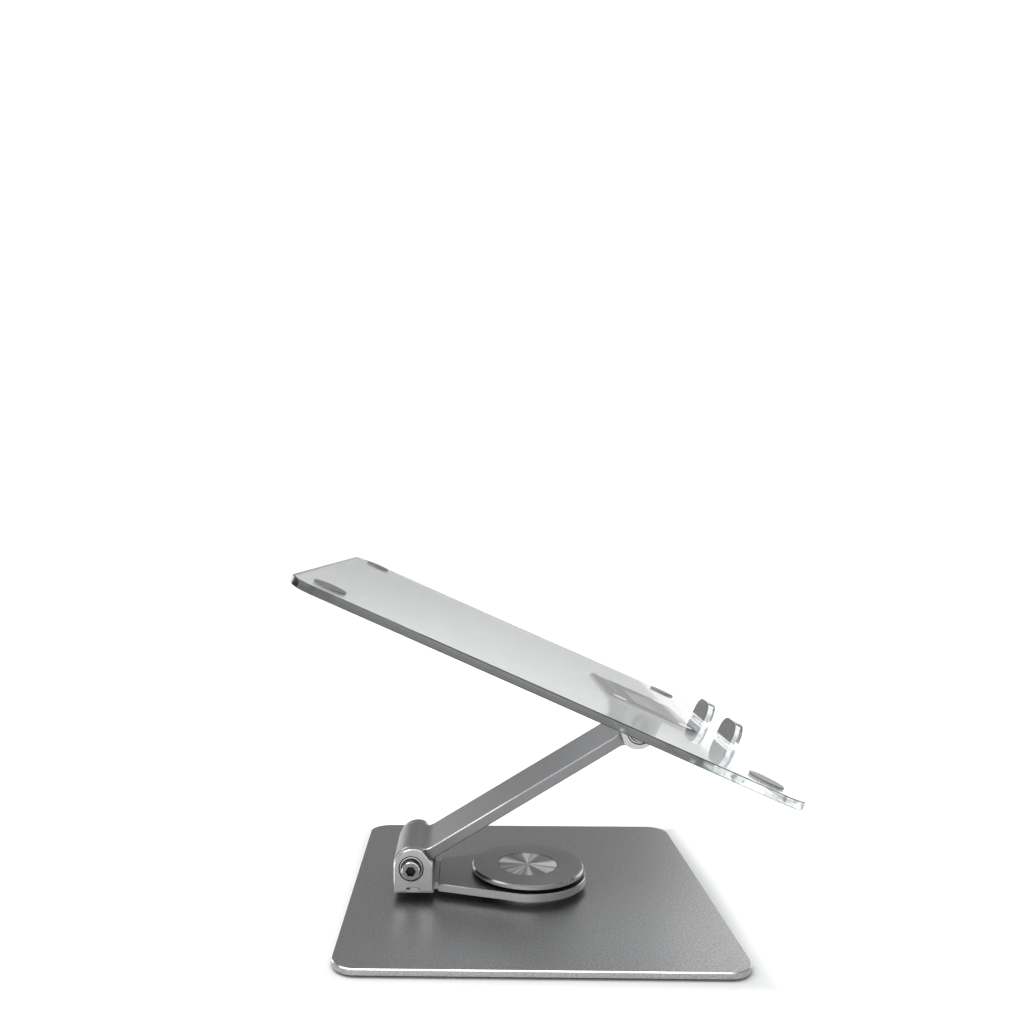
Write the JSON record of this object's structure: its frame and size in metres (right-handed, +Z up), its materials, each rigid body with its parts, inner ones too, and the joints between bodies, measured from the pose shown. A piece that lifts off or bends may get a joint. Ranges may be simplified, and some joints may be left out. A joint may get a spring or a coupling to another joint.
{
  "type": "laptop stand",
  "caption": "Folding laptop stand: square aluminium base with a turntable, a tilting arm between two friction hinges, and a clear tray with two front hooks.",
  "frame": {"origin": "on the turntable's axis at desk level, the centre of the middle foot's underside", "axes": "+Z up, +X to the front (the user's side, where the tray's low edge and hooks are), +Y to the user's right"},
  "size_m": [0.2302, 0.25, 0.1889],
  "materials": {
    "blasted_aluminium": "bead-blasted and anodised, bevel polished bright",
    "satin_aluminium": "satin anodised, edges cut bright",
    "spun_aluminium": "face turned in fine rings, so it shines in radial fans",
    "bolt_steel": "plated steel",
    "spring_steel": "dark, oiled spring steel with a polished face",
    "bearing_bronze": "oiled sintered bronze",
    "black_nylon": "matt black",
    "black_rubber": "matt black",
    "grey_silicone": "dark grey, satin",
    "clear_acrylic": "clear cast sheet with polished edges"
  },
  "bodies": {
    "base": {"base_plate": "blasted_aluminium", "corner_feet": "black_rubber", "centre_foot": "black_rubber", "turntable_hub": "satin_aluminium", "hub_screws": "bolt_steel", "lower_glide_ring": "black_nylon", "turntable_spring": "spring_steel", "turntable_disc": "satin_aluminium", "disc_screws": "bolt_steel", "disc_cap": "spun_aluminium"},
    "swivel": {"swivel_plate": "satin_aluminium", "turntable_bushing": "black_nylon", "cheek_dowels": "bolt_steel", "lower_left_cheek": "satin_aluminium", "lower_right_cheek": "satin_aluminium", "lower_hinge_bolt": "bolt_steel", "lower_hinge_nut": "bolt_steel", "lower_disc_springs": "spring_steel", "lower_flat_washers": "spring_steel"},
    "arm": {"arm": "satin_aluminium", "lower_hinge_bushes": "bearing_bronze", "lower_friction_washers": "black_nylon", "upper_hinge_bushes": "bearing_bronze", "upper_friction_washers": "black_nylon"},
    "tray": {"upper_bracket": "satin_aluminium", "upper_hinge_bolt": "bolt_steel", "upper_hinge_nut": "bolt_steel", "upper_disc_springs": "spring_steel", "upper_flat_washers": "spring_steel", "bracket_gasket": "black_rubber", "tray_plate": "clear_acrylic", "tray_screws": "bolt_steel", "tray_pads": "grey_silicone", "hook_pads": "grey_silicone"}
  },
  "joints": [
    {"name": "swivel", "type": "hinge", "parent": "base", "child": "swivel", "pos_m": [0, 0, 0.01], "axis": [0, 0, 1], "continuous": true},
    {"name": "lower_hinge", "type": "hinge", "parent": "swivel", "child": "arm", "pos_m": [-0.0655, 0, 0.0225], "axis": [0, 1, 0], "range_deg": [-38.8, 17.2]},
    {"name": "upper_hinge", "type": "hinge", "parent": "arm", "child": "tray", "pos_m": [0.05938, 0, 0.09813], "axis": [0, -1, 0], "range_deg": [-36, 39.5]}
  ]
}
